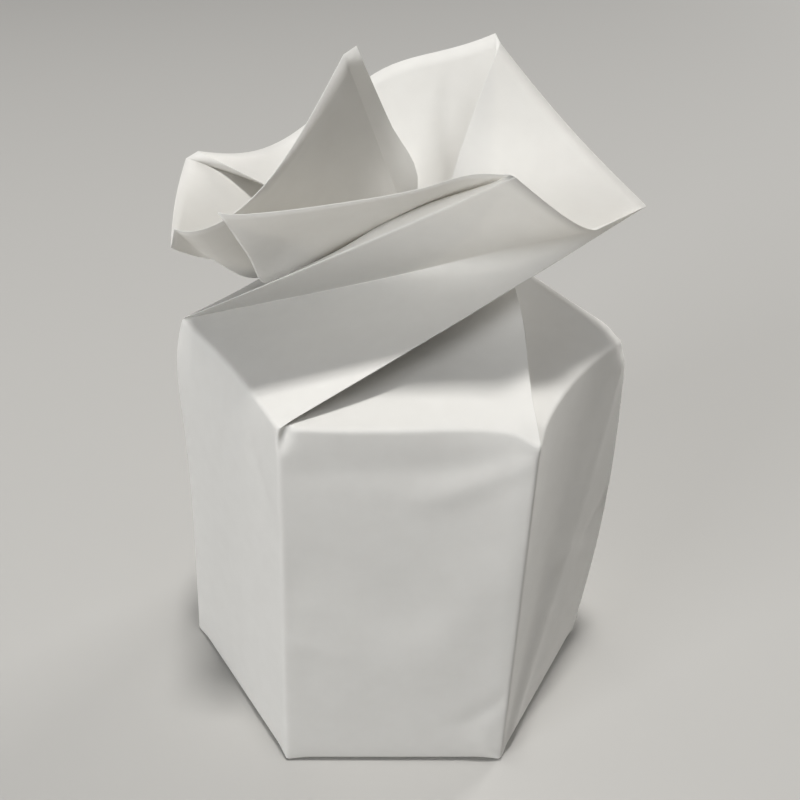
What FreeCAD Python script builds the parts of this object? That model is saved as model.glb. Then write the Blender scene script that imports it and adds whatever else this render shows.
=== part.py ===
"""Hexagonal food pail folded from one sheet of paper.

The sheet is wrapped round six sides with its last panel lapped inside the first.
Its lower band is pleated flat as a floor. Its upper band is twisted shut at a neck
on the axis, and past the neck it flares out again as a six-pointed collar.
Frame: millimetres, +Z up, origin at the middle of the floor, front edge towards -Y.
"""
import math
import os

import FreeCAD
import Part

SIDE = 42.4               # one side of the hexagon, a seventh of the sheet's length
BODY_HEIGHT = 77.0        # floor to the fold at the top of the walls
COLLAR_LENGTH = 75.0      # paper above that fold, measured along a crease
FLOOR_LENGTH = 36.0       # paper below the walls, folded under as the floor
PAPER = 0.1               # thickness of the sheet, office paper of 80 g/m2
BODY_TURN = 2.1           # degrees that the floor is turned against the top fold
LAP_GAP = 0.4             # air between the lap and the panel outside it
LAP_SHORT = 1.5           # how far the lap stops short of the corner inside
PLEAT_GAP = 0.9           # air between the two layers of a floor pleat
LAP_PLEAT_GAP = 1.35      # the same where the pleat also holds the lap
PLEAT_LEAN = 30.0         # degrees that a floor pleat stands off the floor
APEX_RADIUS = 2.6         # circle on which the floor's flaps end
APEX_SPREAD = 25.0        # degrees from a flap's middle to either end of its tip

WALL_ROWS = 8             # facets up a wall
WALL_SPANS = 4            # facets across a wall, the floor and a lid strip
PLEAT_SPANS = 4           # facets across a collar pleat
COLLAR_ROWS = 22          # facets up the collar
FLOOR_ROWS = 3            # facets from the wall to the middle of the floor

# The sheet has seven panels and eight fold lines. Fold 0 is its outer free edge and
# fold 7 is the free edge of the lap inside. CORNERS gives the hexagon corner of each.
PANELS = 7
CORNERS = (5, 0, 1, 2, 3, 4, 5, 0)
OUTSIDE = (1, 0, 0, 0, 0, 0, 0, -1)   # the outer free edge stands out, the lap's stands in
LIFTED = (0, 0, 0, 0, 0, 0, 1, 1)     # the lap's flap of the floor lies on the first one

# Soft outward bulge of two corner folds: corner, sides, share of the height at its peak.
BULGES = ((0, 0.038, 0.86), (3, 0.047, 0.64))

# A waypoint is (share of the crease's length, bearing in degrees from +X, reach from
# the axis in sides, rise above the walls in collar lengths). Each list starts at the
# crease's own corner and ends on the rim.
CREASES = (
    # outer free edge: up along the lap to the sheet's free corner
    ((0.25, 141, 0.71, 0.03), (0.50, 181, 0.63, 0.112), (0.75, 208.5, 0.75, 0.27),
     (1.00, 222.5, 0.98, 0.436)),
    # front point of the collar, leaning over the front edge
    ((0.50, 225, 0.485, 0.267), (1.00, 294.5, 0.76, 0.544)),
    # right point, low over the front right corner
    ((0.60, 312, 0.553, 0.219), (1.00, 354, 0.953, 0.375)),
    # tall back right point
    ((0.50, 344.5, 0.409, 0.24), (1.00, 41, 0.394, 0.701)),
    # back point
    ((0.50, 53, 0.468, 0.187), (1.00, 120.5, 0.845, 0.423)),
    # left point
    ((0.50, 114.5, 0.566, 0.187), (1.00, 170.5, 0.988, 0.385)),
    # near left point, from which the lap runs up to its spike
    ((0.25, 141.5, 0.74, 0.048), (0.50, 174.5, 0.70, 0.104), (0.75, 201, 0.854, 0.24),
     (1.00, 217, 1.102, 0.397)),
    # free edge of the lap: through the neck and up to the tip of the spike
    ((0.30, 173, 0.51, 0.04), (0.50, 160.5, 0.213, 0.107), (0.61, 135, 0.053, 0.227),
     (0.72, 45, 0.013, 0.387), (0.86, 213, 0.147, 0.553), (1.00, 210, 0.30, 0.709)),
)
VALLEYS = (
    # outer layer of the first panel, under the front crease and up to its point
    ((0.25, 132, 0.56, 0.035), (0.50, 163, 0.16, 0.176), (0.75, 288.5, 0.318, 0.371),
     (1.00, 291, 0.72, 0.547)),
    ((0.54, 253, 0.123, 0.181), (0.78, 316.5, 0.454, 0.297), (1.00, 331.5, 0.791, 0.372)),
    ((0.52, 340, 0.07, 0.187), (0.76, 31, 0.206, 0.44), (1.00, 36, 0.395, 0.683)),
    ((0.53, 31, 0.069, 0.187), (1.00, 118, 0.776, 0.44)),
    ((0.52, 90, 0.083, 0.187), (1.00, 166.5, 0.958, 0.393)),
    # hooks back under the near left point
    ((0.30, 69, 0.44, 0.096), (0.50, 128, 0.198, 0.163), (0.80, 194, 0.789, 0.213),
     (1.00, 214, 1.094, 0.341)),
    # valley of the lap: round the outer layer's valley, then flattened out to the spike
    ((0.05, 120, 0.892, 0.0), (0.20, 126.5, 0.619, 0.020), (0.35, 133.5, 0.379, 0.084),
     (0.46, 141, 0.215, 0.157), (0.54, 155, 0.10, 0.219), (0.64, 167, 0.063, 0.313),
     (0.78, 180, 0.142, 0.44), (1.00, 210, 0.354, 0.693)),
)

# Bow of each collar pleat's rim: sides along X, Y and Z, and its peak's share of the rim.
BOWS = (
    (0, 0, -0.026, 0.27),
    (0.047, -0.024, -0.047, 0.5),
    (0, 0.057, -0.033, 0.5),
    (0.026, 0.052, 0.064, 0.67),
    (0, 0.024, -0.094, 0.5),
    (-0.014, 0, 0, 0.5),
    (0.071, -0.071, -0.094, 0.5),
)

# The twist bows the top edge of every panel inwards, by these shares of a side. The
# bow fades down the wall and in the lid. One panel is buckled along its diagonal.
TOP_BOWS = (0.030, 0.024, 0.028, 0.050, 0.035, 0.035, 0.030)
WALL_FADE = 6             # power of the height with which the bow fades
LID_FADE = 0.2            # share of the collar in which it fades
BUCKLED = 3


def swell(share, peak):
    """Smooth hump, 0 at both ends and 1 at its peak."""
    return math.sin(math.pi * share ** (math.log(0.5) / math.log(peak))) if 0 < share < 1 else 0.0


def corner(number, height):
    """Corner of the hexagon at a height, on its fold line."""
    share = height / BODY_HEIGHT
    bearing = math.radians(180 + 60 * number + BODY_TURN * (1 - share))
    reach = SIDE
    for where, bulge, peak in BULGES:
        if where == number:
            reach += SIDE * bulge * swell(share, peak)
    return FreeCAD.Vector(reach * math.cos(bearing), reach * math.sin(bearing), height)


def fold_line(fold, height):
    """Point on a fold of the walls, with the lap a little inside the first panel."""
    bearing = math.radians(150 + BODY_TURN * (1 - height / BODY_HEIGHT))
    outward = FreeCAD.Vector(math.cos(bearing), math.sin(bearing), 0)
    lifted = LIFTED[fold] * LAP_GAP * (1 - height / BODY_HEIGHT)
    shift = outward * (OUTSIDE[fold] * LAP_GAP) + FreeCAD.Vector(0, 0, lifted)
    if fold == PANELS:
        return mix(corner(CORNERS[fold], height), corner(CORNERS[0], height), LAP_SHORT / SIDE) + shift
    return corner(CORNERS[fold], height) + shift


def mix(first, second, share):
    """Point between two others."""
    return first * (1 - share) + second * share


def along(waypoints, start, share):
    """Point of the smooth curve from start through the waypoints."""
    knots = [0.0]
    points = [start]
    for knot, bearing, reach, rise in waypoints:
        turn = math.radians(bearing)
        height = BODY_HEIGHT + rise * COLLAR_LENGTH
        knots.append(knot)
        points.append(FreeCAD.Vector(reach * SIDE * math.cos(turn), reach * SIDE * math.sin(turn), height))
    slopes = knot_slopes(knots, points)
    last = len(knots) - 2
    leg = next((i for i in range(last) if share <= knots[i + 1]), last)
    span = knots[leg + 1] - knots[leg]
    t = (share - knots[leg]) / span
    return (points[leg] * (2 * t ** 3 - 3 * t ** 2 + 1) + slopes[leg] * (span * (t ** 3 - 2 * t ** 2 + t))
            + points[leg + 1] * (3 * t ** 2 - 2 * t ** 3) + slopes[leg + 1] * (span * (t ** 3 - t ** 2)))


def knot_slopes(knots, points):
    """Slope of the curve at each of its points."""
    spans = [knots[i + 1] - knots[i] for i in range(len(knots) - 1)]
    legs = [(points[i + 1] - points[i]) * (1 / spans[i]) for i in range(len(spans))]
    inner = [mix(legs[i], legs[i + 1], spans[i] / (spans[i] + spans[i + 1])) for i in range(len(spans) - 1)]
    first = legs[0] * 1.5 - inner[0] * 0.5
    final = legs[-1] * 1.5 - inner[-1] * 0.5
    return [first] + inner + [final]


def dent(panel, across, share):
    """Inward bow of a wall, at shares of its width and height."""
    if panel == BUCKLED:
        depth = 4 * across * max(0, share - across) / max(share, 0.001)
    else:
        depth = 4 * across * (1 - across) * share ** WALL_FADE
    bearing = math.radians(30 + 60 * CORNERS[panel])
    return FreeCAD.Vector(math.cos(bearing), math.sin(bearing), 0) * (SIDE * TOP_BOWS[panel] * depth)


def wall_row(height):
    """One level of the walls, from the outer free edge to the edge of the lap."""
    row = [fold_line(0, height)]
    for panel in range(PANELS):
        left = fold_line(panel, height)
        right = fold_line(panel + 1, height)
        for step in range(1, WALL_SPANS + 1):
            across = step / WALL_SPANS
            row.append(mix(left, right, across) + dent(panel, across, height / BODY_HEIGHT))
    return row


def collar_row(share):
    """One row of the collar: crease, pleat, valley and lid strip of every panel."""
    row = [along(CREASES[0], fold_line(0, BODY_HEIGHT), share)]
    fade = max(0, 1 - share / LID_FADE) ** 2
    for panel in range(PANELS):
        crease = row[-1]
        valley = along(VALLEYS[panel], fold_line(panel, BODY_HEIGHT), share)
        after = along(CREASES[panel + 1], fold_line(panel + 1, BODY_HEIGHT), share)
        bow = FreeCAD.Vector(*BOWS[panel][:3]) * (SIDE * share ** 2)
        for step in range(1, PLEAT_SPANS + 1):
            part = step / PLEAT_SPANS
            row.append(mix(crease, valley, part) + bow * swell(part, BOWS[panel][3]))
        for step in range(1, WALL_SPANS + 1):
            part = step / WALL_SPANS
            row.append(mix(valley, after, part) + dent(panel, part, 1) * fade)
    return row


def floor_edges(panel, share):
    """Left and right edge of one floor flap."""
    apex_z = LIFTED[panel] * LIFTED[panel + 1] * LAP_GAP
    turn = math.radians(BODY_TURN)
    middle = math.radians(210 + 60 * CORNERS[panel]) + turn
    ends = []
    for fold, side_sign in ((panel, -1), (panel + 1, 1)):
        base = fold_line(fold, 0)
        bearing = middle + side_sign * math.radians(APEX_SPREAD)
        apex = FreeCAD.Vector(APEX_RADIUS * math.cos(bearing), APEX_RADIUS * math.sin(bearing), apex_z)
        ends.append(mix(base, apex, share))
    back = math.radians(90 + 60 * CORNERS[panel + 1]) + turn
    gap = LAP_PLEAT_GAP if panel == PANELS - 1 else PLEAT_GAP
    ends[1] += FreeCAD.Vector(math.cos(back), math.sin(back), 0) * (gap * min(1, share * FLOOR_ROWS))
    return ends


def floor_ridge(fold, share):
    """Ridge of the pleat at a fold, leaning over the flap after it."""
    base = fold_line(fold, 0)
    lean = math.radians(PLEAT_LEAN)
    seam = math.radians(60 * CORNERS[fold] + BODY_TURN)
    foot = FreeCAD.Vector(math.cos(seam), math.sin(seam), 0) * (FLOOR_LENGTH * math.cos(math.radians(30)))
    across = FreeCAD.Vector(math.sin(seam), -math.cos(seam), 0) * (FLOOR_LENGTH / 2 * math.cos(lean))
    rise = FreeCAD.Vector(0, 0, FLOOR_LENGTH / 2 * math.sin(lean))
    return base + (foot + across + rise) * share


def floor_row(share):
    """One row of the floor: each flap flat, with a leaning pleat between two flaps."""
    row = []
    for panel in range(PANELS):
        left, right = floor_edges(panel, share)
        if panel > 0:
            row.append(floor_ridge(panel, share))
        row += [mix(left, right, step / WALL_SPANS) for step in range(WALL_SPANS + 1)]
    return row


class Sheet:
    """Points and triangles of the middle of the paper."""

    def __init__(self):
        self.points = []
        self.triangles = []

    def add(self, row):
        """Number the points of a row."""
        start = len(self.points)
        self.points += row
        return list(range(start, start + len(row)))

    def strip(self, lower, upper):
        """Join two rows of equal count, with the short diagonal of each facet."""
        for i in range(len(lower) - 1):
            a, b, c, d = lower[i], lower[i + 1], upper[i + 1], upper[i]
            rising = (self.points[a] - self.points[c]).Length
            falling = (self.points[b] - self.points[d]).Length
            if rising <= falling:
                self.triangles += [(a, b, c), (a, c, d)]
            else:
                self.triangles += [(a, b, d), (b, c, d)]

    def fan(self, hub, row):
        """Join one point to a row."""
        self.triangles += [(hub, row[i + 1], row[i]) for i in range(len(row) - 1)]


def middle_sheet():
    """The whole sheet, from the edge under the floor to the rim of the collar."""
    sheet = Sheet()
    walls = [sheet.add(wall_row(BODY_HEIGHT * i / WALL_ROWS)) for i in range(WALL_ROWS + 1)]
    for lower, upper in zip(walls, walls[1:]):
        sheet.strip(lower, upper)
    collar = [sheet.add(collar_row((i + 1) / (COLLAR_ROWS + 1))) for i in range(1, COLLAR_ROWS + 1)]
    width = PLEAT_SPANS + WALL_SPANS
    for panel in range(PANELS):
        top = walls[-1][panel * WALL_SPANS:(panel + 1) * WALL_SPANS + 1]
        first = collar[0][panel * width:(panel + 1) * width + 1]
        sheet.fan(top[0], first[:PLEAT_SPANS + 1])
        sheet.strip(top, first[PLEAT_SPANS:])
    for lower, upper in zip(collar, collar[1:]):
        sheet.strip(lower, upper)
    floor = [sheet.add(floor_row(i / FLOOR_ROWS)) for i in range(1, FLOOR_ROWS + 1)]
    for panel in range(PANELS):
        bottom = walls[0][panel * WALL_SPANS:(panel + 1) * WALL_SPANS + 1]
        start = panel * (WALL_SPANS + 2)
        flap = floor[0][start:start + WALL_SPANS + 1]
        sheet.strip(flap, bottom)
        if panel > 0:
            sheet.fan(bottom[0], [flap[0], floor[0][start - 1], floor[0][start - 2]])
    for outer, inner in zip(floor, floor[1:]):
        sheet.strip(inner, outer)
    return sheet


def facet_normals(sheet):
    """For every point, the unit normals of the facets round it and their angles there."""
    around = [[] for point in sheet.points]
    for triangle in sheet.triangles:
        spots = [sheet.points[i] for i in triangle]
        normal = (spots[1] - spots[0]).cross(spots[2] - spots[0])
        normal.normalize()
        for i in range(3):
            angle = (spots[(i + 1) % 3] - spots[i]).getAngle(spots[(i + 2) % 3] - spots[i])
            around[triangle[i]].append((normal, angle))
    return around


def half_thickness(around):
    """Offset that moves every facet round a point out by half the paper, as a mitre does."""
    slack = 0.002
    columns = [FreeCAD.Vector(slack, 0, 0), FreeCAD.Vector(0, slack, 0), FreeCAD.Vector(0, 0, slack)]
    total = FreeCAD.Vector()
    for normal, angle in around:
        columns = [column + normal * (angle * part) for column, part in zip(columns, normal)]
        total += normal * angle
    crosses = [columns[1].cross(columns[2]), columns[2].cross(columns[0]), columns[0].cross(columns[1])]
    size = columns[0].dot(crosses[0])
    offset = FreeCAD.Vector(*(total.dot(cross) / size for cross in crosses)) * (PAPER / 2)
    if offset.Length > PAPER:
        offset *= PAPER / offset.Length
    return offset


def rim_edges(triangles):
    """Edges that only one facet uses, each in its facet's direction."""
    used = set()
    for a, b, c in triangles:
        used.update(((a, b), (b, c), (c, a)))
    return [(a, b) for a, b in used if (b, a) not in used]


def paper_solid(sheet):
    """Give the sheet its thickness and close it along its edges."""
    count = len(sheet.points)
    offsets = [half_thickness(around) for around in facet_normals(sheet)]
    outer = [point + offset for point, offset in zip(sheet.points, offsets)]
    inner = [point - offset for point, offset in zip(sheet.points, offsets)]
    facets = list(sheet.triangles)
    facets += [(c + count, b + count, a + count) for a, b, c in sheet.triangles]
    for a, b in sorted(rim_edges(sheet.triangles)):
        facets += [(b, a, a + count), (b, a + count, b + count)]
    skin = Part.Shape()
    skin.makeShapeFromMesh((outer + inner, facets), 0.0001)
    solid = Part.Solid(Part.Shell(skin.Faces))
    if solid.Volume < 0:
        solid.reverse()
    solid.translate(FreeCAD.Vector(0, 0, PAPER / 2))
    return solid


def main():
    """Write the pail's one solid."""
    os.makedirs("parts", exist_ok=True)
    paper_solid(middle_sheet()).exportStep("parts/folded_pail.step")


main()
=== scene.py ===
"""Looks of the folded food pail: its sheet as one fine mesh, the floor, the lamps and the camera."""
import math

import bpy
import numpy as np
from mathutils import Matrix, Vector


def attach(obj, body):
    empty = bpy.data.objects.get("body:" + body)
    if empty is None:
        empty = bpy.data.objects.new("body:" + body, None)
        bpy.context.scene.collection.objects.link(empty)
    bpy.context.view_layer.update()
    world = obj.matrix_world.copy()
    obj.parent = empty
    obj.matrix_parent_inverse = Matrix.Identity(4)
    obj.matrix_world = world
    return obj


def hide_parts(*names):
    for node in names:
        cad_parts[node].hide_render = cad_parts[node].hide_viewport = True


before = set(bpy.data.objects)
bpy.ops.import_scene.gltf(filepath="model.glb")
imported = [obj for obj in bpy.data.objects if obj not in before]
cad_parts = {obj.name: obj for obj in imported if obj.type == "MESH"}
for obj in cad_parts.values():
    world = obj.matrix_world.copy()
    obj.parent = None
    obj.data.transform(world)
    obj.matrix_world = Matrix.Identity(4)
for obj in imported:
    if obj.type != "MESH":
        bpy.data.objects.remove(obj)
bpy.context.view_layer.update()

MM = 0.001
SIDE = 42.4 * MM                    # one side of the hexagon, a seventh of the sheet's length
BODY_HEIGHT = 77.0 * MM             # floor to the fold at the top of the walls
COLLAR_LENGTH = 75.0 * MM           # paper above that fold, measured along a crease
FLOOR_LENGTH = 36.0 * MM            # paper below the walls, folded under as the floor
PAPER = 0.1 * MM                    # thickness of the sheet
BODY_TURN = math.radians(2.1)       # how far the floor is turned against the top fold
LAP_GAP = 0.4 * MM                  # air between the lap and the panel outside it
LAP_SHORT = 1.5 * MM                # how far the lap stops short of the corner inside
PLEAT_GAP = 0.9 * MM                # air between the two layers of a floor pleat
LAP_PLEAT_GAP = 1.35 * MM           # the same where the pleat also holds the lap
GAP_RATE = 3                        # that air is full at a third of the flap's length
PLEAT_LEAN = math.radians(30)       # how far a floor pleat stands off the floor
APEX_RADIUS = 2.6 * MM              # circle on which the floor's flaps end
APEX_SPREAD = math.radians(25)      # from a flap's middle to either end of its tip
STEP = math.pi / 3                  # turn from one corner of the hexagon to the next
SEAM = math.radians(150)            # bearing of the first panel, which lies outside the lap

# Facets of the fine mesh. All but the floor's rows crowd towards the folds, where they
# are about 0.4 mm.
WALL_ROWS = 60
SPANS = 40                          # across a wall, a flap of the floor and a lid strip
PLEAT_SPANS = 26                    # across a collar pleat
COLLAR_ROWS = 54
FLOOR_ROWS = 12
CROWDED = 0.65                      # share of the even spacing that facets at a fold lose
ROUNDS = 3                          # passes that round the folds
HINGE_ROWS = 4                      # rows at either side of the walls' top and bottom, rounded too

# The sheet has seven panels and eight fold lines. Fold 0 is its outer free edge and
# fold 7 is the free edge of the lap inside. CORNERS gives the hexagon corner of each.
PANELS = 7
CORNERS = (5, 0, 1, 2, 3, 4, 5, 0)
OUTSIDE = (1, 0, 0, 0, 0, 0, 0, -1)     # the outer free edge stands out, the lap's stands in
LIFTED = (0, 0, 0, 0, 0, 0, 1, 1)       # the lap's flap of the floor lies on the first one

# Soft outward bulge of two corner folds: corner, sides, share of the height at its peak.
BULGES = ((0, 0.038, 0.86), (3, 0.047, 0.50))

# A waypoint is (share of the crease's length, bearing in degrees from +X, reach from the
# axis in sides, rise above the walls in collar lengths). Each list starts at the crease's
# own corner and ends on the rim. The lists follow the CAD source but for three: the lap's
# free edge has one waypoint of its own, the fourth valley has one more, and the first
# valley has its own from its middle on.
CREASES = (
    # outer free edge: up along the lap to the sheet's free corner
    ((0.25, 141, 0.71, 0.03), (0.50, 181, 0.63, 0.112), (0.75, 208.5, 0.75, 0.27),
     (1.00, 222.5, 0.98, 0.436)),
    # front point of the collar, leaning over the front edge
    ((0.50, 225, 0.485, 0.267), (1.00, 294.5, 0.76, 0.544)),
    # right point, low over the front right corner
    ((0.60, 312, 0.553, 0.219), (1.00, 354, 0.953, 0.375)),
    # tall back right point
    ((0.50, 344.5, 0.409, 0.24), (1.00, 41, 0.394, 0.701)),
    # back point
    ((0.50, 53, 0.468, 0.187), (1.00, 120.5, 0.845, 0.423)),
    # left point
    ((0.50, 114.5, 0.566, 0.187), (1.00, 170.5, 0.988, 0.385)),
    # near left point, from which the lap runs up to its spike
    ((0.25, 141.5, 0.74, 0.048), (0.50, 174.5, 0.70, 0.104), (0.75, 201, 0.854, 0.24),
     (1.00, 217, 1.102, 0.397)),
    # free edge of the lap: through the neck and up to the tip of the spike
    ((0.30, 173, 0.51, 0.04), (0.50, 160.5, 0.213, 0.107), (0.61, 135, 0.053, 0.227),
     (0.72, 45, 0.013, 0.387), (0.86, 180, 0.12, 0.525), (1.00, 210, 0.30, 0.709)),
)
VALLEYS = (
    # outer layer of the first panel, under the front crease and up to its point
    ((0.25, 132, 0.56, 0.035), (0.50, 163, 0.16, 0.176), (0.64, 252, 0.12, 0.32),
     (0.78, 287, 0.33, 0.415), (0.89, 292, 0.55, 0.482), (1.00, 293.5, 0.748, 0.547)),
    ((0.54, 253, 0.123, 0.181), (0.78, 316.5, 0.454, 0.297), (1.00, 331.5, 0.791, 0.372)),
    ((0.52, 340, 0.07, 0.187), (0.76, 31, 0.206, 0.44), (1.00, 36, 0.395, 0.683)),
    ((0.53, 31, 0.069, 0.187), (0.76, 102, 0.39, 0.32), (1.00, 118, 0.776, 0.44)),
    ((0.52, 90, 0.083, 0.187), (1.00, 166.5, 0.958, 0.393)),
    # hooks back under the near left point
    ((0.30, 69, 0.44, 0.096), (0.50, 128, 0.198, 0.163), (0.80, 194, 0.789, 0.213),
     (1.00, 214, 1.094, 0.341)),
    # valley of the lap: round the outer layer's valley, then flattened out to the spike
    ((0.05, 120, 0.892, 0.0), (0.20, 126.5, 0.619, 0.020), (0.35, 133.5, 0.379, 0.084),
     (0.46, 141, 0.215, 0.157), (0.54, 155, 0.10, 0.219), (0.64, 167, 0.063, 0.313),
     (0.78, 180, 0.142, 0.44), (1.00, 210, 0.354, 0.693)),
)
# The crease on the lid from the second front corner is bent a little to the right.
BENT = 3
BEND = (1.5 * MM, 0, 0)
BEND_PEAK = 0.32                    # share of the crease's length
BEND_WIDTH = 0.15                   # the same

# Bow of each collar pleat's rim: sides along X, Y and Z, and its peak's share of the rim.
BOWS = (
    (0, 0, -0.026, 0.27),
    (0.047, -0.024, -0.047, 0.5),
    (0, 0.057, -0.033, 0.5),
    (0.003, 0.028, 0.074, 0.67),
    (0, 0.024, -0.094, 0.5),
    (-0.014, 0, 0, 0.5),
    (0.062, -0.062, -0.105, 0.38),
)
BOW_FADE = 3                        # power with which the bow fades down the collar

# Inward bow of every panel's top edge, in sides, and its peak's share of the edge. It
# fades down the wall and in the lid.
TOP_BOWS = (
    (0.030, 0.5), (0.024, 0.5), (0.048, 0.78), (0.058, 0.5), (0.035, 0.5), (0.035, 0.5), (0.030, 0.5),
)
WALL_FADE = 6                       # power of the height with which the bow fades
LID_FADE = 0.2                      # share of the collar in which it fades
BUCKLED = 3                         # this panel is buckled along its diagonal, and hollow above it
HOLLOW = 0.72                       # low in the hollow, the deepest place's share of its width
LOWEST = 0.001                      # least share of the height that is divided by, at the foot

# Soft marks in the walls, each along a line: panel, ends as shares of its width and
# height, half-width and depth. A negative depth stands out.
MARKS = (
    # front wall: a faint crease at the top right, two small folds at the bottom right,
    # the edge of a layer inside, the hollow under the top edge, two slow waves and a
    # faint ridge beside the right fold
    (2, 0.60, 0.83, 0.99, 0.93, 2.2 * MM, -0.44 * MM),
    (2, 0.82, 0.14, 0.97, 0.22, 1.4 * MM, 0.50 * MM),
    (2, 0.88, 0.08, 0.98, 0.02, 1.2 * MM, -0.42 * MM),
    (2, 0.01, 0.40, 0.26, 0.37, 1.1 * MM, -0.26 * MM),
    (2, 0.26, 0.37, 0.30, 0.20, 1.4 * MM, -0.18 * MM),
    (2, 0.12, 0.90, 0.88, 0.91, 3.0 * MM, 0.26 * MM),
    (2, 0.15, 0.62, 0.55, 0.50, 6.0 * MM, 0.42 * MM),
    (2, 0.60, 0.35, 0.85, 0.60, 6.0 * MM, -0.36 * MM),
    (2, 0.94, 0.10, 0.95, 0.85, 1.6 * MM, -0.14 * MM),
    # right wall: the ridge of its buckle, and a small dent beside it
    (3, 0.12, 0.06, 0.47, 0.50, 1.8 * MM, -0.50 * MM),
    (3, 0.47, 0.50, 0.93, 0.95, 1.8 * MM, -0.50 * MM),
    (3, 0.76, 0.47, 0.95, 0.52, 2.0 * MM, 0.50 * MM),
    # left wall
    (1, 0.10, 0.45, 0.55, 0.60, 5.0 * MM, 0.26 * MM),
    (1, 0.62, 0.97, 0.50, 0.62, 2.2 * MM, -0.26 * MM),
    (1, 0.75, 0.88, 0.97, 0.72, 2.0 * MM, 0.26 * MM),
    (1, 0.70, 0.10, 0.95, 0.35, 4.0 * MM, -0.22 * MM),
    # walls at the back
    (4, 0.30, 0.35, 0.70, 0.55, 4.0 * MM, 0.24 * MM),
    (4, 0.10, 0.80, 0.45, 0.92, 2.4 * MM, -0.20 * MM),
    (5, 0.25, 0.75, 0.75, 0.60, 4.0 * MM, 0.24 * MM),
    (0, 0.30, 0.40, 0.80, 0.50, 4.0 * MM, 0.20 * MM),
)
MARK_RATE = 20                      # how fast a mark fades in from the wall's four edges

HEM = 4.0 * MM                      # height in which a wall curves in to the floor
HEM_DEPTH = 0.7 * MM
HEM_RATE = 12                       # how fast that curve fades in beside a fold

# The slit at the top of the front wall, beside the first front corner. It starts at the
# fold and leaves it on the way up.
SLIT_PANEL = 2
SLIT_LENGTH = 5.0 * MM
SLIT_PLACE = 1.2 * MM               # from the corner, at the top
SLIT_WIDTH = 0.7 * MM
SLIT_DEPTH = 1.8 * MM

# Blunt corners of the lid: corner, how far it is pushed in and down, and the radius in
# which that fades. A negative push is outwards.
BLUNT = (
    (1, 0.3 * MM, 0.3 * MM, 2.0 * MM),
    (2, -0.3 * MM, 1.5 * MM, 2.8 * MM),
    (3, 1.0 * MM, 0.8 * MM, 3.4 * MM),
)

# The first pleat's rim rolls up beside the front point, and its face hangs forward over
# the lid strip below it, which swells up behind the front crease.
ROLL = (0.2 * MM, 0.3 * MM, 1.5 * MM)
ROLL_PEAK = 0.85                    # share of the pleat's width
ROLL_WIDTH = 0.10                   # the same
ROLL_FADE = 5                       # power with which it fades down the collar
HANG = (0.4 * MM, -1.2 * MM, -1.5 * MM)
HANG_FROM = 0.50                    # share of the crease's length at the free edge
HANG_TO = 0.90                      # the same at the valley
HANG_WIDTH = 0.13                   # the same, over which it fades
HANG_PEAK = 0.4                     # share of the pleat's width
RISE = (-0.3 * MM, 0.4 * MM, 1.5 * MM)
RISE_PEAK = 0.6                     # share of the crease's length
RISE_PLACE = 0.7                    # share of the strip's width

# Looks: two shades of white paper, the light that comes through it, and the floor.
PAPER_SHADES = ((0.80, 0.79, 0.765, 1), (0.86, 0.853, 0.83, 1))
THROUGH_PAPER = (0.95, 0.92, 0.86, 1)
FLOOR_COLOUR = (0.47, 0.462, 0.445, 1)
FLOOR_REACH = 4.0                   # metres from the middle to each side of the floor

# Lamps, all turned to the pail: name, place, size in metres, power in watts and colour.
# A low key at the front left, a far one behind at the right, a small one almost overhead.
LAMP_TARGET = (0, 0, 0.08)
LAMPS = (
    ("key", (-1.01, -1.04, 0.40), 0.55, 12.0, (0.97, 0.985, 1)),
    ("side", (1.90, 2.20, 0.66), 0.90, 62.0, (1, 0.99, 0.97)),
    ("top", (-0.02, -0.10, 1.35), 0.15, 13.0, (1, 0.99, 0.97)),
)
WORLD_STRENGTH = 0.13

# Camera: it looks from the front, 31 degrees above the floor. Its offset is from the
# origin, along its own right, up and back.
VIEW_AZIMUTH = math.radians(-2.3)
VIEW_ELEVATION = math.radians(31.1)
VIEW_ROLL = math.radians(3.52)
CAMERA_OFFSET = (2.8 * MM, 52.3 * MM, 242.2 * MM)
LENS = 48.0                         # focal length in millimetres
SENSOR = 36.0                       # width in millimetres


def crowded(count):
    """Shares from 0 to 1 that crowd towards both ends, without the 0."""
    steps = np.arange(1, count + 1) / count
    return steps - CROWDED * np.sin(2 * math.pi * steps) / (2 * math.pi)


def swell(shares, peak):
    """Smooth hump, 0 at both ends and 1 at its peak."""
    return np.sin(math.pi * np.clip(shares, 0, 1) ** (math.log(0.5) / math.log(peak)))


def bell(distance, width):
    """Bell curve, 1 at no distance and fading over the width."""
    return np.exp(-(distance / width) ** 2)


def edge_fade(shares, rate):
    """0 at both ends and 1 between them, reached the sooner the higher the rate."""
    return np.minimum(1, rate * shares * (1 - shares))


def polar(radius, bearing, height=0.0):
    """Point at a bearing round the axis."""
    return np.array([radius * math.cos(bearing), radius * math.sin(bearing), height])


def across(left, right, shares):
    """Points from left to right of every row, at the shares of its width."""
    steps = shares[None, :, None]
    return left[:, None, :] * (1 - steps) + right[:, None, :] * steps


def corner(number, height):
    """Corner of the hexagon at each height, on its fold line."""
    share = height / BODY_HEIGHT
    bearing = math.pi + STEP * number + BODY_TURN * (1 - share)
    reach = np.full_like(share, SIDE)
    for where, bulge, peak in BULGES:
        if where == number:
            reach = reach + SIDE * bulge * swell(share, peak)
    return np.stack([reach * np.cos(bearing), reach * np.sin(bearing), height], axis=-1)


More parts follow.
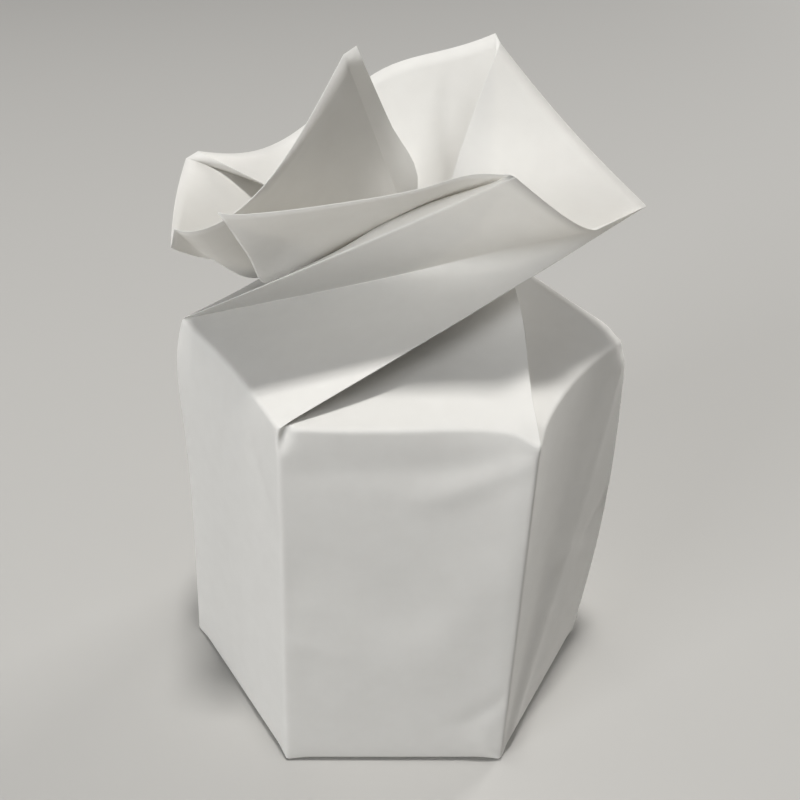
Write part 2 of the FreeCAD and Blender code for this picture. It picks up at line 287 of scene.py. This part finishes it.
def fold_line(fold, height):
    """Points on a fold of the walls, with the lap a little inside the first panel."""
    height = np.atleast_1d(np.asarray(height, float))
    bearing = SEAM + BODY_TURN * (1 - height / BODY_HEIGHT)
    outward = np.stack([np.cos(bearing), np.sin(bearing), 0 * bearing], axis=-1)
    points = corner(CORNERS[fold], height) + outward * OUTSIDE[fold] * LAP_GAP
    points[:, 2] += LIFTED[fold] * LAP_GAP * (1 - height / BODY_HEIGHT)
    if fold == PANELS:
        points += (corner(CORNERS[0], height) - corner(CORNERS[fold], height)) * LAP_SHORT / SIDE
    return points


def along(waypoints, start, shares):
    """Points of the smooth curve from start through the waypoints."""
    knots = np.array([0.0] + [waypoint[0] for waypoint in waypoints])
    points = [start]
    for knot, bearing, reach, rise in waypoints:
        points.append(polar(reach * SIDE, math.radians(bearing), BODY_HEIGHT + rise * COLLAR_LENGTH))
    points = np.array(points)
    spans = np.diff(knots)
    slopes = knot_slopes(spans, points)
    leg = np.clip(np.searchsorted(knots, shares, side="left") - 1, 0, len(spans) - 1)
    t = ((shares - knots[leg]) / spans[leg])[:, None]
    span = spans[leg][:, None]
    return (points[leg] * (2 * t ** 3 - 3 * t ** 2 + 1) + slopes[leg] * span * (t ** 3 - 2 * t ** 2 + t)
            + points[leg + 1] * (3 * t ** 2 - 2 * t ** 3) + slopes[leg + 1] * span * (t ** 3 - t ** 2))


def knot_slopes(spans, points):
    """Slope of the curve at each of its points."""
    legs = np.diff(points, axis=0) / spans[:, None]
    weight = (spans[:-1] / (spans[:-1] + spans[1:]))[:, None]
    inner = legs[:-1] * (1 - weight) + legs[1:] * weight
    return np.vstack([legs[:1] * 1.5 - inner[:1] * 0.5, inner, legs[-1:] * 1.5 - inner[-1:] * 0.5])


def inward(panel):
    """Direction from a panel's middle to the axis."""
    return polar(1, STEP * (CORNERS[panel] + 0.5))


def dent(panel, part, share):
    """How far a wall is bowed in, at shares of its width and height."""
    bow, peak = TOP_BOWS[panel]
    if panel == BUCKLED:
        way = np.minimum(1, part / np.maximum(share, LOWEST))
        flat = np.minimum(way / HOLLOW, (1 - way) / (1 - HOLLOW))
        return SIDE * bow * share * (4 * way * (1 - way) * share ** 2 + flat * (1 - share ** 2))
    return SIDE * bow * swell(part, peak) * share ** WALL_FADE


def hem(part, share):
    """Depth of the curve at a wall's foot."""
    return HEM_DEPTH * np.maximum(0, 1 - share * BODY_HEIGHT / HEM) ** 2 * edge_fade(part, HEM_RATE)


def mark(part, share, part_a, share_a, part_b, share_b, width, size):
    """Depth of one soft mark along its line."""
    run = np.array([(part_b - part_a) * SIDE, (share_b - share_a) * BODY_HEIGHT])
    aside = (part - part_a) * SIDE
    up = (share - share_a) * BODY_HEIGHT
    t = np.clip((aside * run[0] + up * run[1]) / run.dot(run), 0, 1)
    far = np.hypot(aside - t * run[0], up - t * run[1])
    return size * (edge_fade(part, MARK_RATE) * edge_fade(share, MARK_RATE)) * bell(far, width)


def slit(part, share):
    """Depth of the slit."""
    climb = np.maximum(0, 1 - (1 - share) * BODY_HEIGHT / SLIT_LENGTH)
    return SLIT_DEPTH * np.sqrt(climb) * bell(part * SIDE - SLIT_PLACE * climb, SLIT_WIDTH)


def relief(panel, part, share):
    """Depth of the curve at a wall's foot, its soft marks and the slit together."""
    depth = hem(part, share)
    for where, *line in MARKS:
        if where == panel:
            depth = depth + mark(part, share, *line)
    if panel == SLIT_PANEL:
        depth = depth + slit(part, share)
    return depth


def wall_rows():
    """Levels of the walls, each from the outer free edge to the edge of the lap."""
    shares = np.concatenate([[0.0], crowded(WALL_ROWS)])
    folds = [fold_line(fold, BODY_HEIGHT * shares) for fold in range(PANELS + 1)]
    parts = crowded(SPANS)
    blocks = [folds[0][:, None]]
    for panel in range(PANELS):
        depth = dent(panel, parts[None, :], shares[:, None]) + relief(panel, parts[None, :], shares[:, None])
        blocks.append(across(folds[panel], folds[panel + 1], parts) + depth[..., None] * inward(panel))
    return np.concatenate(blocks, axis=1)


def collar_rows():
    """Rows of the collar: crease, pleat, valley and lid strip of every panel."""
    steps = np.arange(1, COLLAR_ROWS + 1) / COLLAR_ROWS
    shares = steps - CROWDED * np.sin(math.pi * steps) / math.pi
    creases = [along(CREASES[i], fold_line(i, BODY_HEIGHT)[0], shares) for i in range(PANELS + 1)]
    creases[BENT] += np.outer(bell(shares - BEND_PEAK, BEND_WIDTH), BEND)
    blocks = [creases[0][:, None]]
    for panel in range(PANELS):
        valley = along(VALLEYS[panel], fold_line(panel, BODY_HEIGHT)[0], shares)
        blocks.append(pleat(panel, shares, creases[panel], valley))
        blocks.append(lid_strip(panel, shares, valley, creases[panel + 1]))
    return np.concatenate(blocks, axis=1)


def pleat(panel, shares, crease, valley):
    """Collar pleat from a crease to its valley, with the bow of its rim."""
    parts = crowded(PLEAT_SPANS)
    bow = np.array(BOWS[panel][:3]) * SIDE * swell(parts, BOWS[panel][3])[:, None]
    face = across(crease, valley, parts) + bow[None] * (shares ** BOW_FADE)[:, None, None]
    if panel == 0:
        roll = np.outer(shares ** ROLL_FADE, bell(parts - ROLL_PEAK, ROLL_WIDTH))
        face += np.array(ROLL) * roll[..., None]
        aside = shares[:, None] - (HANG_FROM + (HANG_TO - HANG_FROM) * parts[None, :])
        hang = bell(aside, HANG_WIDTH) * swell(parts, HANG_PEAK)[None, :]
        face += np.array(HANG) * hang[..., None]
    return face


def lid_strip(panel, shares, valley, crease):
    """Strip of the lid from a valley to the next crease, with the bow of its lower end."""
    parts = crowded(SPANS)
    fade = np.maximum(0, 1 - shares / LID_FADE) ** 2
    shift = dent(panel, parts, 1.0)[None, :, None] * fade[:, None, None] * inward(panel)
    if panel == 0:
        rise = np.outer(swell(shares, RISE_PEAK), swell(parts, RISE_PLACE))
        shift = shift + np.array(RISE) * rise[..., None]
    return across(valley, crease, parts) + shift


def floor_edges(panel, column):
    """Left and right edge of one floor flap, at a column of shares of its length."""
    apex_height = LIFTED[panel] * LIFTED[panel + 1] * LAP_GAP
    middle = math.pi + STEP * (CORNERS[panel] + 0.5) + BODY_TURN
    edges = []
    for fold, turn in ((panel, -APEX_SPREAD), (panel + 1, APEX_SPREAD)):
        base = fold_line(fold, 0.0)[0]
        edges.append(base + (polar(APEX_RADIUS, middle + turn, apex_height) - base) * column)
    gap = LAP_PLEAT_GAP if panel == PANELS - 1 else PLEAT_GAP
    to_axis = STEP * CORNERS[panel + 1] + BODY_TURN
    edges[1] += polar(gap, to_axis + math.pi / 2) * np.minimum(1, column * GAP_RATE)
    return edges


def floor_ridge(fold, column):
    """Ridge of the floor pleat at a fold, leaning over the flap after it."""
    to_axis = STEP * CORNERS[fold] + BODY_TURN
    reach = polar(FLOOR_LENGTH * math.cos(STEP / 2), to_axis)
    reach += polar(FLOOR_LENGTH / 2 * math.cos(PLEAT_LEAN), to_axis - math.pi / 2)
    reach[2] = FLOOR_LENGTH / 2 * math.sin(PLEAT_LEAN)
    return fold_line(fold, 0.0)[0] + reach * column


def floor_rows():
    """Rows of the floor: each flap flat, with a leaning pleat between two flaps."""
    column = (np.arange(1, FLOOR_ROWS + 1) / FLOOR_ROWS)[:, None]
    blocks = []
    for panel in range(PANELS):
        left, right = floor_edges(panel, column)
        if panel > 0:
            blocks.append(floor_ridge(panel, column)[:, None])
        blocks.append(np.concatenate([left[:, None], across(left, right, crowded(SPANS))], axis=1))
    return np.concatenate(blocks, axis=1)


class Sheet:
    """Points and facets of the middle of the paper."""

    def __init__(self):
        self.points = []
        self.facets = []

    def add(self, row):
        """Number the points of a row."""
        start = len(self.points)
        self.points.extend(row)
        return list(range(start, start + len(row)))

    def strip(self, lower, upper):
        """Join two rows of equal count."""
        for i in range(len(lower) - 1):
            self.facets.append((lower[i], lower[i + 1], upper[i + 1], upper[i]))

    def fan(self, hub, row):
        """Join one point to a row."""
        self.facets.extend((hub, row[i + 1], row[i]) for i in range(len(row) - 1))


def middle_sheet():
    """The whole sheet: its walls, then its collar and then its floor."""
    sheet = Sheet()
    walls = [sheet.add(row) for row in wall_rows()]
    collar = [sheet.add(row) for row in collar_rows()]
    floor = [sheet.add(row) for row in floor_rows()]
    for lower, upper in list(zip(walls, walls[1:])) + list(zip(collar, collar[1:])):
        sheet.strip(lower, upper)
    for outer, inner in zip(floor, floor[1:]):
        sheet.strip(inner, outer)
    width = PLEAT_SPANS + SPANS
    for panel in range(PANELS):
        top = walls[-1][panel * SPANS:(panel + 1) * SPANS + 1]
        first = collar[0][panel * width:(panel + 1) * width + 1]
        sheet.fan(top[0], first[:PLEAT_SPANS + 1])
        sheet.strip(top, first[PLEAT_SPANS:])
        bottom = walls[0][panel * SPANS:(panel + 1) * SPANS + 1]
        start = panel * (SPANS + 2)
        flap = floor[0][start:start + SPANS + 1]
        sheet.strip(flap, bottom)
        if panel > 0:
            sheet.fan(bottom[0], [flap[0], floor[0][start - 1], floor[0][start - 2]])
    return sheet


def edge_uses(facets):
    """Number of facets at each edge, which is named by its two points."""
    uses = {}
    for facet in facets:
        for a, b in zip(facet, facet[1:] + facet[:1]):
            edge = (min(a, b), max(a, b))
            uses[edge] = uses.get(edge, 0) + 1
    return uses


def neighbours(facets, hinge, held):
    """Points that move and the neighbours that they move towards, as two lists.

    Neighbours are in one row, or both in the hinge, where the rows above and below count
    too. A free edge's points move only along it, and the held points have no neighbour.
    """
    uses = edge_uses(facets)
    rim = {point for edge, count in uses.items() if count == 1 for point in edge}
    movers = []
    others = []
    for (a, b), count in uses.items():
        if b - a != 1 and not (a in hinge and b in hinge):
            continue
        for point, other in ((a, b), (b, a)):
            if point not in held and (count == 1 or point not in rim):
                movers.append(point)
                others.append(other)
    return np.array(movers), np.array(others)


def rounded(sheet):
    """The sheet's points with its folds rounded.

    In each pass a point moves halfway to the middle of its neighbours. The hinge is the
    rows by the walls' top and bottom, and the collar's two free corners are held.
    """
    wall = PANELS * SPANS + 1
    collar = PANELS * (PLEAT_SPANS + SPANS) + 1
    top = (WALL_ROWS + 1) * wall
    floor = top + COLLAR_ROWS * collar
    hinge = set(range(HINGE_ROWS * wall)) | set(range(top - HINGE_ROWS * wall, top + HINGE_ROWS * collar))
    hinge |= set(range(floor, floor + HINGE_ROWS * PANELS * (SPANS + 2)))
    movers, others = neighbours(sheet.facets, hinge, {floor - collar, floor - 1})
    points = np.array(sheet.points)
    count = np.bincount(movers, minlength=len(points))[:, None]
    for _ in range(ROUNDS):
        total = np.zeros_like(points)
        np.add.at(total, movers, points[others])
        points = np.where(count > 0, 0.5 * points + 0.5 * total / np.maximum(count, 1), points)
    return points


def blunted(points):
    """The points with the lid's blunt corners pushed aside and down."""
    for number, push, drop, radius in BLUNT:
        place = corner(number, np.array([BODY_HEIGHT]))[0]
        way = np.array([-push * place[0], -push * place[1], -drop * SIDE]) / SIDE
        far = np.linalg.norm(points - place, axis=1)
        points = points + bell(far, radius)[:, None] * way
    return points


def folded_sheet():
    """The pail's paper as one mesh, with a modifier that gives it its thickness."""
    sheet = middle_sheet()
    points = blunted(rounded(sheet)) + [0, 0, PAPER / 2]
    mesh = bpy.data.meshes.new("folded_paper")
    mesh.from_pydata([tuple(point) for point in points], [], sheet.facets)
    mesh.update()
    piece = bpy.data.objects.new("folded_paper", mesh)
    bpy.context.collection.objects.link(piece)
    mesh.shade_smooth()
    shell = piece.modifiers.new("thickness", "SOLIDIFY")
    shell.thickness = PAPER
    shell.offset = 0
    shell.use_rim = True
    return piece


def noise(tree, place, scale, detail):
    """Noise over an object's own coordinates."""
    texture = tree.nodes.new("ShaderNodeTexNoise")
    texture.inputs["Scale"].default_value = scale
    texture.inputs["Detail"].default_value = detail
    tree.links.new(place.outputs["Object"], texture.inputs["Vector"])
    return texture.outputs["Fac"]


def paper_material():
    """Plain white office paper: matt, faintly mottled, with a fine fibre grain."""
    material = bpy.data.materials.new("paper")
    material.use_nodes = True
    tree = material.node_tree
    shader = tree.nodes["Principled BSDF"]
    place = tree.nodes.new("ShaderNodeTexCoord")
    mottle = noise(tree, place, scale=260, detail=4)
    colour = tree.nodes.new("ShaderNodeMix")
    colour.data_type = "RGBA"
    colour.inputs["A"].default_value = PAPER_SHADES[0]
    colour.inputs["B"].default_value = PAPER_SHADES[1]
    tree.links.new(mottle, colour.inputs["Factor"])
    tree.links.new(colour.outputs["Result"], shader.inputs["Base Color"])
    fibre = noise(tree, place, scale=1500, detail=3)
    bump = tree.nodes.new("ShaderNodeBump")
    bump.inputs["Strength"].default_value = 0.25
    bump.inputs["Distance"].default_value = 0.04 * MM
    tree.links.new(fibre, bump.inputs["Height"])
    tree.links.new(bump.outputs["Normal"], shader.inputs["Normal"])
    shader.inputs["Roughness"].default_value = 0.82
    shader.inputs["Specular IOR Level"].default_value = 0.3
    glow = tree.nodes.new("ShaderNodeBsdfTranslucent")
    glow.inputs["Color"].default_value = THROUGH_PAPER
    blend = tree.nodes.new("ShaderNodeMixShader")
    blend.inputs["Fac"].default_value = 0.22
    tree.links.new(shader.outputs["BSDF"], blend.inputs[1])
    tree.links.new(glow.outputs["BSDF"], blend.inputs[2])
    tree.links.new(blend.outputs["Shader"], tree.nodes["Material Output"].inputs["Surface"])
    return material


def studio_floor():
    """A plain pale floor that reaches past the view."""
    mesh = bpy.data.meshes.new("floor")
    ends = ((-1, -1), (1, -1), (1, 1), (-1, 1))
    mesh.from_pydata([(x * FLOOR_REACH, y * FLOOR_REACH, 0) for x, y in ends], [], [(0, 1, 2, 3)])
    floor = bpy.data.objects.new("floor", mesh)
    bpy.context.collection.objects.link(floor)
    material = bpy.data.materials.new("floor")
    material.use_nodes = True
    shader = material.node_tree.nodes["Principled BSDF"]
    shader.inputs["Base Color"].default_value = FLOOR_COLOUR
    shader.inputs["Roughness"].default_value = 0.9
    mesh.materials.append(material)


def lamp(name, place, size, power, colour):
    """A square soft lamp that faces the pail."""
    light = bpy.data.lights.new(name, "AREA")
    light.shape = "SQUARE"
    light.size = size
    light.energy = power
    light.color = colour
    holder = bpy.data.objects.new(name, light)
    holder.location = place
    holder.rotation_euler = (Vector(LAMP_TARGET) - Vector(place)).to_track_quat("-Z", "Y").to_euler()
    bpy.context.collection.objects.link(holder)


def studio_light():
    """The lamps and a faint even light from all round."""
    for values in LAMPS:
        lamp(*values)
    world = bpy.data.worlds.new("studio")
    bpy.context.scene.world = world
    world.use_nodes = True
    background = world.node_tree.nodes["Background"]
    background.inputs["Color"].default_value = (1, 1, 1, 1)
    background.inputs["Strength"].default_value = WORLD_STRENGTH


def camera():
    """The camera at the front, above the pail."""
    back = Vector((math.sin(VIEW_AZIMUTH) * math.cos(VIEW_ELEVATION),
                   -math.cos(VIEW_AZIMUTH) * math.cos(VIEW_ELEVATION), math.sin(VIEW_ELEVATION)))
    right = Vector((math.cos(VIEW_AZIMUTH), math.sin(VIEW_AZIMUTH), 0))
    upright = Matrix((right, back.cross(right), back)).transposed()
    turned = upright @ Matrix.Rotation(VIEW_ROLL, 3, "Z")
    data = bpy.data.cameras.new("camera")
    data.lens = LENS
    data.sensor_width = SENSOR
    data.clip_start = 0.01
    holder = bpy.data.objects.new("camera", data)
    holder.matrix_world = Matrix.Translation(turned @ Vector(CAMERA_OFFSET)) @ turned.to_4x4()
    bpy.context.collection.objects.link(holder)
    bpy.context.scene.camera = holder


def main():
    """Build the scene."""
    piece = folded_sheet()
    piece.data.materials.append(paper_material())
    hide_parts("folded_pail")
    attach(piece, "root")
    studio_floor()
    studio_light()
    camera()
    bpy.context.scene.view_settings.view_transform = "Standard"
    bpy.context.view_layer.update()


main()
